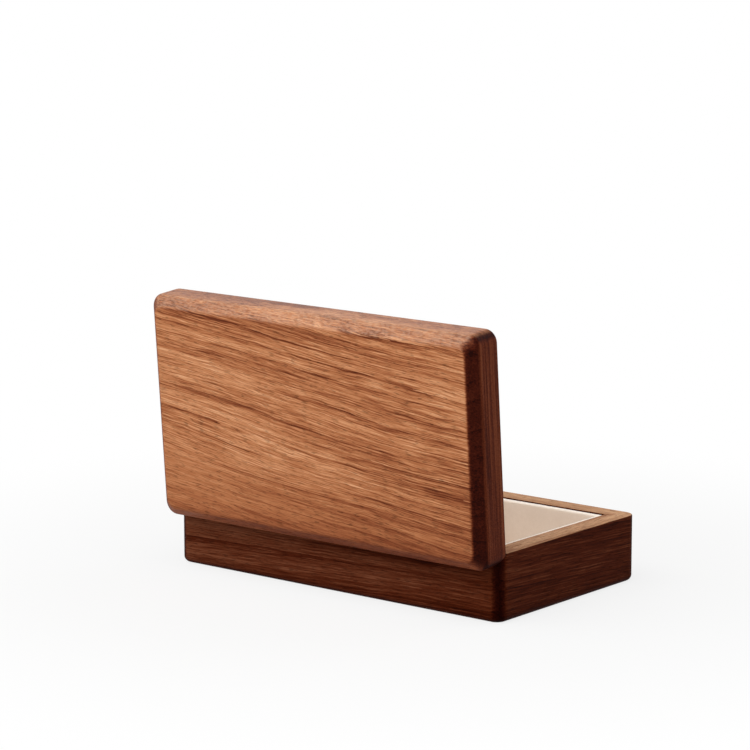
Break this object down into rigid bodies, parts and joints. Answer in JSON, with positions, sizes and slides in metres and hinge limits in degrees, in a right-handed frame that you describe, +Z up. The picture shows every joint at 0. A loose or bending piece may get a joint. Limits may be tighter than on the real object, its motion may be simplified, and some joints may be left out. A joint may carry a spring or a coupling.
{
  "type": "jewelry organizer",
  "caption": "Low wooden box with a hinged chamfered lid, a fabric-lined tray with dividers, pads and padded ring rolls, and a lined recess in the lid.",
  "frame": {"origin": "centre of the underside of the base", "axes": "+X to the right as seen from the front, +Y towards the hinges at the back, +Z up"},
  "size_m": [0.16, 0.1074, 0.1117],
  "materials": {
    "walnut_base": "oiled walnut, satin",
    "walnut_lid": "oiled walnut, satin",
    "walnut_floor": "oiled walnut, satin",
    "lining": "beige brushed fabric on board",
    "cushion": "beige brushed fabric over foam",
    "magnet": "nickel plated",
    "brass": "turned brass"
  },
  "bodies": {
    "base": {"base_front_wall": "walnut_base", "base_rear_wall": "walnut_base", "base_left_wall": "walnut_base", "base_right_wall": "walnut_base", "base_floor": "walnut_floor", "tray_front_liner": "lining", "tray_rear_liner": "lining", "tray_left_liner": "lining", "tray_right_liner": "lining", "left_divider": "lining", "right_divider": "lining", "pocket_divider": "lining", "left_pad": "cushion", "front_pocket_pad": "cushion", "rear_pocket_pad": "cushion", "ring_card": "lining", "ring_roll_1": "cushion", "ring_roll_2": "cushion", "ring_roll_3": "cushion", "ring_roll_4": "cushion", "base_magnets": "magnet", "left_hinge_base_barrel": "brass", "right_hinge_base_barrel": "brass"},
    "lid": {"lid_board": "walnut_lid", "lid_front_liner": "lining", "lid_rear_liner": "lining", "lid_left_liner": "lining", "lid_right_liner": "lining", "lid_pad": "cushion", "lid_magnets": "magnet", "left_hinge_lid_barrel": "brass", "right_hinge_lid_barrel": "brass", "left_hinge_pin": "brass", "right_hinge_pin": "brass"}
  },
  "joints": [
    {"name": "lid_hinge", "type": "hinge", "parent": "base", "child": "lid", "pos_m": [0, 0.0405, 0.0266], "axis": [1, 0, 0], "range_deg": [0, 94.5]}
  ]
}
